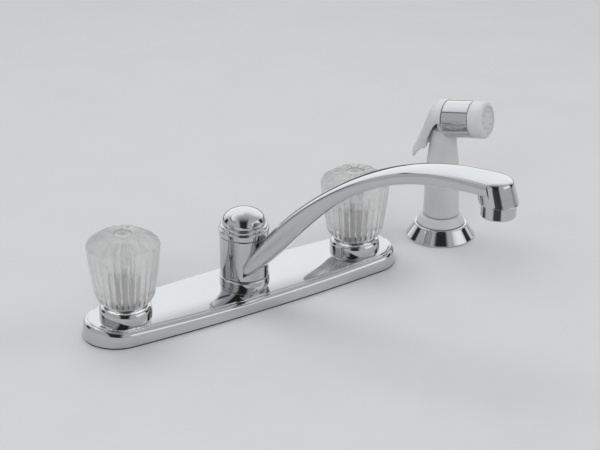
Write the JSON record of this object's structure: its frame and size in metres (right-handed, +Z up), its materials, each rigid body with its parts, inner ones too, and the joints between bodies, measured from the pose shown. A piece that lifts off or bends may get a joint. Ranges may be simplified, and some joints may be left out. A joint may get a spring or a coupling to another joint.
{
  "type": "two handle kitchen faucet",
  "caption": "Deck-mounted kitchen faucet with a swinging arched spout, clear fluted knob handles, a chrome deck plate and a side spray in its own holder.",
  "frame": {"origin": "where the spout's swivel axis meets the deck surface that the gasket rests on", "axes": "+X along the deck plate towards the cold (right) handle, -Y towards the sink and the user, +Z up"},
  "size_m": [0.3535, 0.2284, 0.1874],
  "materials": {
    "chrome": "polished",
    "clear_acrylic": "clear, polished",
    "white_plastic": "satin moulded",
    "grey_plastic": "moulded",
    "black_plastic": "moulded",
    "brass": "machined",
    "rubber": "matt",
    "steel": "plain"
  },
  "bodies": {
    "base": {"deck_gasket": "rubber", "deck_plate": "chrome", "waterway_body": "brass", "spray_outlet_nipple": "brass", "diverter_housing": "grey_plastic", "spout_o_rings": "rubber", "glide_ring": "chrome", "spout_nut": "chrome", "left_bonnet": "chrome", "right_bonnet": "chrome", "left_valve_seat": "rubber", "right_valve_seat": "rubber", "left_seat_spring": "steel", "right_seat_spring": "steel", "mounting_washers": "steel", "mounting_nuts": "black_plastic", "spray_holder": "chrome", "spray_holder_liner": "white_plastic", "spray_holder_washer": "steel", "spray_holder_nut": "black_plastic"},
    "spout": {"spout": "chrome", "aerator_housing": "chrome", "aerator_insert": "grey_plastic", "aerator_washer": "rubber"},
    "left_handle": {"left_knob": "clear_acrylic", "left_handle_insert": "grey_plastic", "left_stem": "grey_plastic", "left_stem_o_ring": "rubber", "left_handle_screw": "steel", "left_index_cap": "clear_acrylic"},
    "right_handle": {"right_knob": "clear_acrylic", "right_handle_insert": "grey_plastic", "right_stem": "grey_plastic", "right_stem_o_ring": "rubber", "right_handle_screw": "steel", "right_index_cap": "clear_acrylic"},
    "diverter": {"diverter_poppet": "grey_plastic"},
    "sprayer": {"spray_body": "white_plastic", "spray_head_band": "chrome", "spray_nose_cap": "white_plastic", "spray_face": "white_plastic", "spray_lever_pin": "steel", "spray_hose_nipple": "brass"},
    "spray_lever": {"spray_lever": "white_plastic"},
    "spray_plunger": {"spray_plunger": "brass"}
  },
  "joints": [
    {"name": "spout_swing", "type": "hinge", "parent": "base", "child": "spout", "pos_m": [0, 0, 0.035], "axis": [0, 0, 1], "range_deg": [-95.8, 44.2]},
    {"name": "left_valve_turn", "type": "hinge", "parent": "base", "child": "left_handle", "pos_m": [-0.1016, 0, 0.04], "axis": [0, 0, 1], "range_deg": [0, 90]},
    {"name": "right_valve_turn", "type": "hinge", "parent": "base", "child": "right_handle", "pos_m": [0.1016, 0, 0.04], "axis": [0, 0, 1], "range_deg": [-90, 0]},
    {"name": "diverter_lift", "type": "slide", "parent": "base", "child": "diverter", "axis": [0, 0, 1], "range_m": [0, 0.0025]},
    {"name": "sprayer_lift", "type": "slide", "parent": "base", "child": "sprayer", "axis": [0, 0, 1], "range_m": [0, 0.12]},
    {"name": "lever_squeeze", "type": "hinge", "parent": "sprayer", "child": "spray_lever", "pos_m": [0.18953, 0.006, 0.107], "axis": [-0.9003, -0.4352, 0], "range_deg": [0, 5.5], "stiffness_Nm_per_rad": 0.6, "springref_deg": -8.59},
    {"name": "plunger_push", "type": "slide", "parent": "sprayer", "child": "spray_plunger", "axis": [0.4298, -0.889, 0.1582], "range_m": [0, 0.0009]}
  ],
  "couplings": [
    {"joint": "plunger_push", "follows": "lever_squeeze", "m_per_rad": 0.0085}
  ]
}
